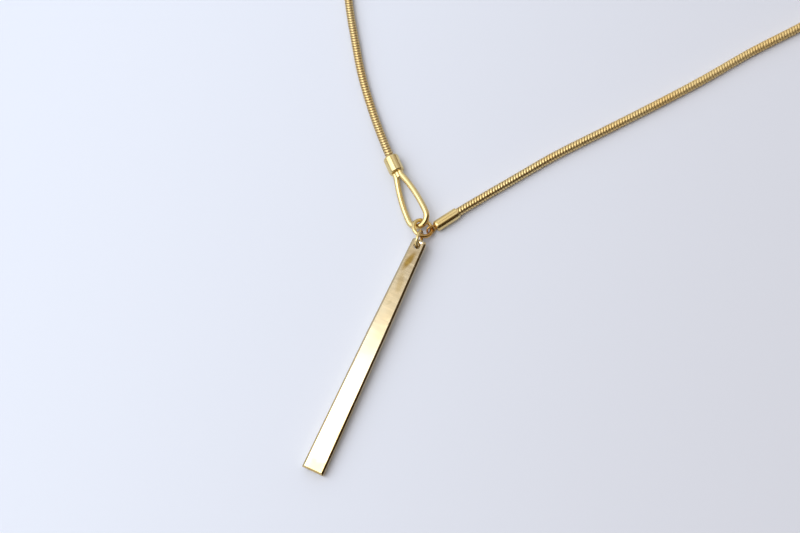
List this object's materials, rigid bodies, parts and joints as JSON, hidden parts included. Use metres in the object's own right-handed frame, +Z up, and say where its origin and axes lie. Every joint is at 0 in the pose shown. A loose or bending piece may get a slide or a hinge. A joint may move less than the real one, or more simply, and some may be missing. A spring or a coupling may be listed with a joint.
{
  "type": "charm necklace",
  "caption": "Y-shaped necklace lying flat: round snake chain, tapered bar pendant on jump rings, teardrop loop end, tube end and a plain barrel clasp.",
  "frame": {"origin": "middle of the neck opening, on the surface that the necklace lies on", "axes": "+Z up from the surface, -Y towards the bar pendant, +Y towards the clasp"},
  "size_m": [0.1201, 0.2184, 0.0039],
  "materials": {
    "chain_gold": "polished gold-tone plating on fine ribs",
    "fitting_gold": "polished gold-tone plating",
    "bar_gold": "polished gold-tone plating with faint brushing"
  },
  "bodies": {
    "root": {"left_chain": "chain_gold", "right_chain": "chain_gold", "loop_cap": "fitting_gold", "eye_tube": "fitting_gold", "main_ring": "fitting_gold", "pendant_ring": "fitting_gold", "bar_pendant": "bar_gold", "barrel_clasp": "fitting_gold"}
  },
  "joints": []
}
